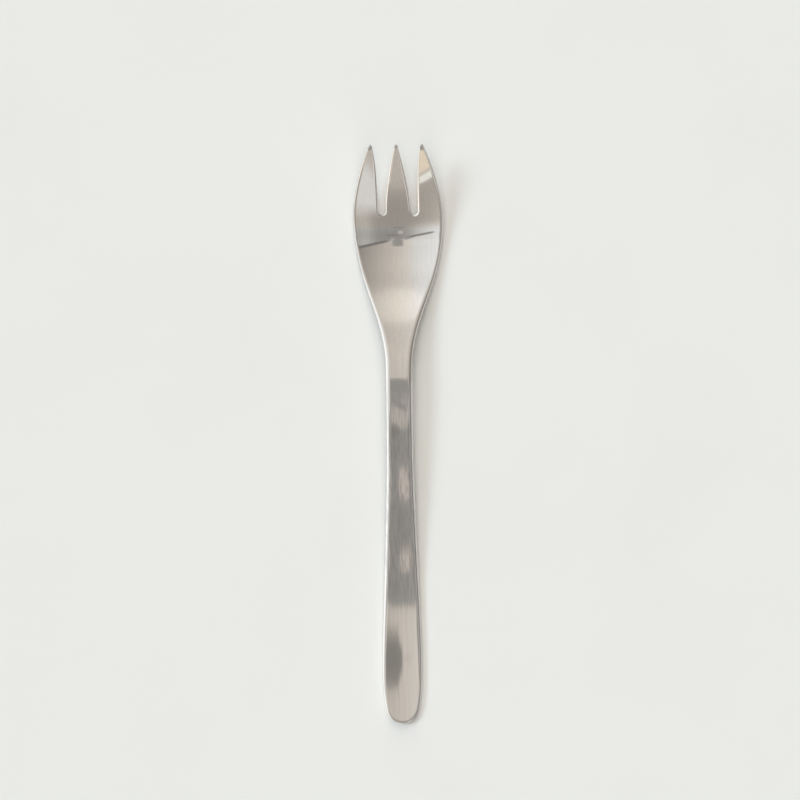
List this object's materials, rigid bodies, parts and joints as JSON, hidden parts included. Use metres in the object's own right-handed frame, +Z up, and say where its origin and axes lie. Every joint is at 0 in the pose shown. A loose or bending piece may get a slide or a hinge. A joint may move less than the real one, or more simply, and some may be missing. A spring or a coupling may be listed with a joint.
{
  "type": "dessert fork",
  "caption": "One-piece dessert fork of satin stainless steel, with a broad dished head, short pointed tines and a slim handle that widens to a rounded end.",
  "frame": {"origin": "on the table, at the centre of the bounding box's base, with the fork lying on its back", "axes": "+Y along the fork towards the tine tips, +Z up out of the head's hollow, +X across to the right seen from above"},
  "size_m": [0.0266, 0.17, 0.0152],
  "materials": {
    "satin_steel": "satin, finely brushed along the length"
  },
  "bodies": {
    "root": {"fork": "satin_steel"}
  },
  "joints": []
}
